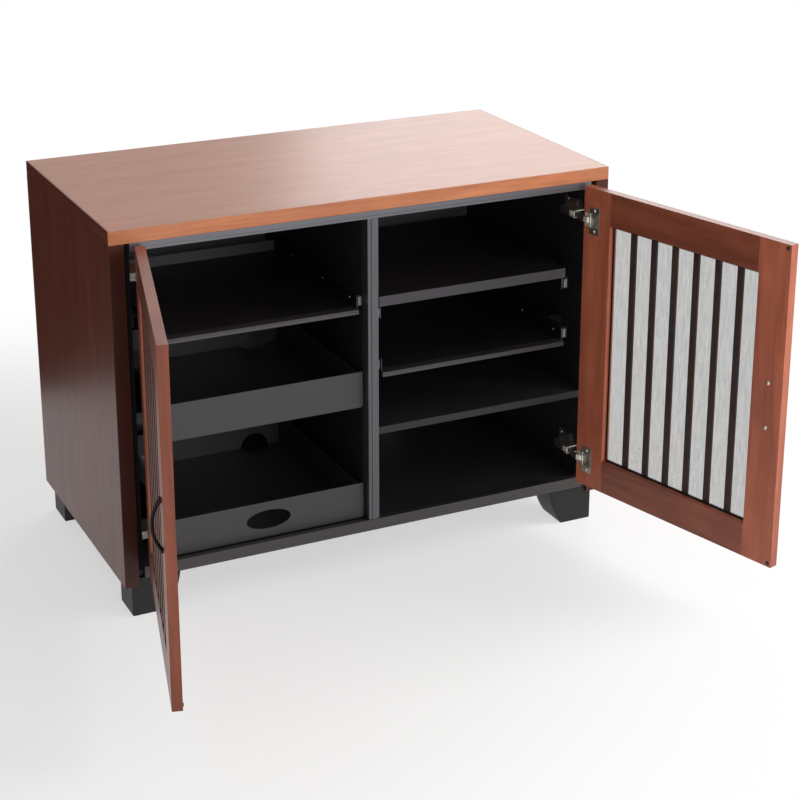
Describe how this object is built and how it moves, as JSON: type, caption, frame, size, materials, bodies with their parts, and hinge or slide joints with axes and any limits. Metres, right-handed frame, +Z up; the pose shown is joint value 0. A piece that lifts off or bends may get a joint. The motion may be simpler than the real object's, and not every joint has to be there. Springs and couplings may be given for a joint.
{
  "type": "audio equipment cabinet",
  "caption": "Two-door wooden media cabinet with slatted cloth doors, a component shelf, pull-out trays, a pull-out shelf and steel drawers.",
  "frame": {"origin": "bottom centre of the whole cabinet with its doors open, on the floor under its four legs", "axes": "+X to the right of someone in front of it, +Y to its back, +Z up"},
  "size_m": [1.324, 1.1442, 0.829],
  "materials": {
    "top_veneer": "satin lacquered cherry veneer",
    "side_veneer": "satin lacquered cherry veneer",
    "door_wood": "satin lacquered solid cherry",
    "black_board": "black laminate",
    "black_tray": "black coated board with sheet sides",
    "dark_aluminium": "dark anodised",
    "slide_steel": "black coated steel",
    "drawer_steel": "dark grey powder coat",
    "hinge_nickel": "nickel plated",
    "grille_cloth": "open black grille cloth",
    "moulded_black": "moulded, satin",
    "handle_black": "black enamel"
  },
  "bodies": {
    "case": {"top_panel": "top_veneer", "left_side_panel": "side_veneer", "right_side_panel": "side_veneer", "left_side_liner": "black_board", "right_side_liner": "black_board", "bottom_panel": "black_board", "centre_divider": "black_board", "left_back_panel": "black_board", "right_back_panel": "black_board", "top_front_rail": "dark_aluminium", "bottom_front_rail": "dark_aluminium", "centre_post": "dark_aluminium", "front_left_leg": "moulded_black", "front_right_leg": "moulded_black", "back_left_leg": "moulded_black", "back_right_leg": "moulded_black", "component_shelf": "black_board", "front_shelf_clip_left": "hinge_nickel", "front_shelf_clip_right": "hinge_nickel", "back_shelf_clip_left": "hinge_nickel", "back_shelf_clip_right": "hinge_nickel", "upper_tray_divider_slide": "slide_steel", "upper_tray_liner_slide": "slide_steel", "lower_tray_divider_slide": "slide_steel", "lower_tray_liner_slide": "slide_steel", "middle_drawer_divider_slide": "slide_steel", "middle_drawer_liner_slide": "slide_steel", "bottom_drawer_divider_slide": "slide_steel", "bottom_drawer_liner_slide": "slide_steel", "pullout_shelf_divider_slide": "slide_steel", "pullout_shelf_liner_slide": "slide_steel", "left_lower_hinge_arm": "hinge_nickel", "left_upper_hinge_arm": "hinge_nickel", "right_lower_hinge_arm": "hinge_nickel", "right_upper_hinge_arm": "hinge_nickel"},
    "left_links": {"left_lower_hinge_link": "hinge_nickel", "left_upper_hinge_link": "hinge_nickel"},
    "left_door": {"left_door_frame": "door_wood", "left_door_slats": "door_wood", "left_door_cloth": "grille_cloth", "left_door_handle": "handle_black", "left_lower_hinge_cup": "hinge_nickel", "left_upper_hinge_cup": "hinge_nickel"},
    "right_links": {"right_lower_hinge_link": "hinge_nickel", "right_upper_hinge_link": "hinge_nickel"},
    "right_door": {"right_door_frame": "door_wood", "right_door_slats": "door_wood", "right_door_cloth": "grille_cloth", "right_door_handle": "handle_black", "right_lower_hinge_cup": "hinge_nickel", "right_upper_hinge_cup": "hinge_nickel"},
    "upper_tray": {"upper_tray": "black_tray", "upper_tray_trim": "dark_aluminium"},
    "lower_tray": {"lower_tray": "black_tray", "lower_tray_trim": "dark_aluminium"},
    "middle_drawer": {"middle_drawer": "drawer_steel"},
    "bottom_drawer": {"bottom_drawer": "drawer_steel"},
    "pullout_shelf": {"pullout_shelf": "black_board"}
  },
  "joints": [
    {"name": "left_link_turn", "type": "hinge", "parent": "case", "child": "left_links", "pos_m": [-0.49073, 0.00634, 0.4535], "axis": [0, 0, 1], "range_deg": [-53.14, 0]},
    {"name": "left_door_swing", "type": "hinge", "parent": "left_links", "child": "left_door", "pos_m": [-0.49732, -0.0503, 0.4535], "axis": [0, 0, -1], "range_deg": [-157.7, 0]},
    {"name": "right_link_turn", "type": "hinge", "parent": "case", "child": "right_links", "pos_m": [0.49073, 0.00634, 0.4535], "axis": [0, 0, -1], "range_deg": [-53.14, 0]},
    {"name": "right_door_swing", "type": "hinge", "parent": "right_links", "child": "right_door", "pos_m": [0.49732, -0.0503, 0.4535], "axis": [0, 0, 1], "range_deg": [-157.7, 0]},
    {"name": "upper_tray_slide", "type": "slide", "parent": "case", "child": "upper_tray", "axis": [0, -1, 0], "range_m": [0, 0.406]},
    {"name": "middle_drawer_slide", "type": "slide", "parent": "case", "child": "middle_drawer", "axis": [0, -1, 0], "range_m": [0, 0.406]},
    {"name": "bottom_drawer_slide", "type": "slide", "parent": "case", "child": "bottom_drawer", "axis": [0, -1, 0], "range_m": [0, 0.406]},
    {"name": "lower_tray_slide", "type": "slide", "parent": "case", "child": "lower_tray", "axis": [0, -1, 0], "range_m": [0, 0.406]},
    {"name": "pullout_shelf_slide", "type": "slide", "parent": "case", "child": "pullout_shelf", "axis": [0, -1, 0], "range_m": [0, 0.22]}
  ],
  "couplings": [
    {"joint": "left_door_swing", "follows": "left_link_turn", "ratio": 2.9664},
    {"joint": "right_door_swing", "follows": "right_link_turn", "ratio": 2.9664}
  ]
}
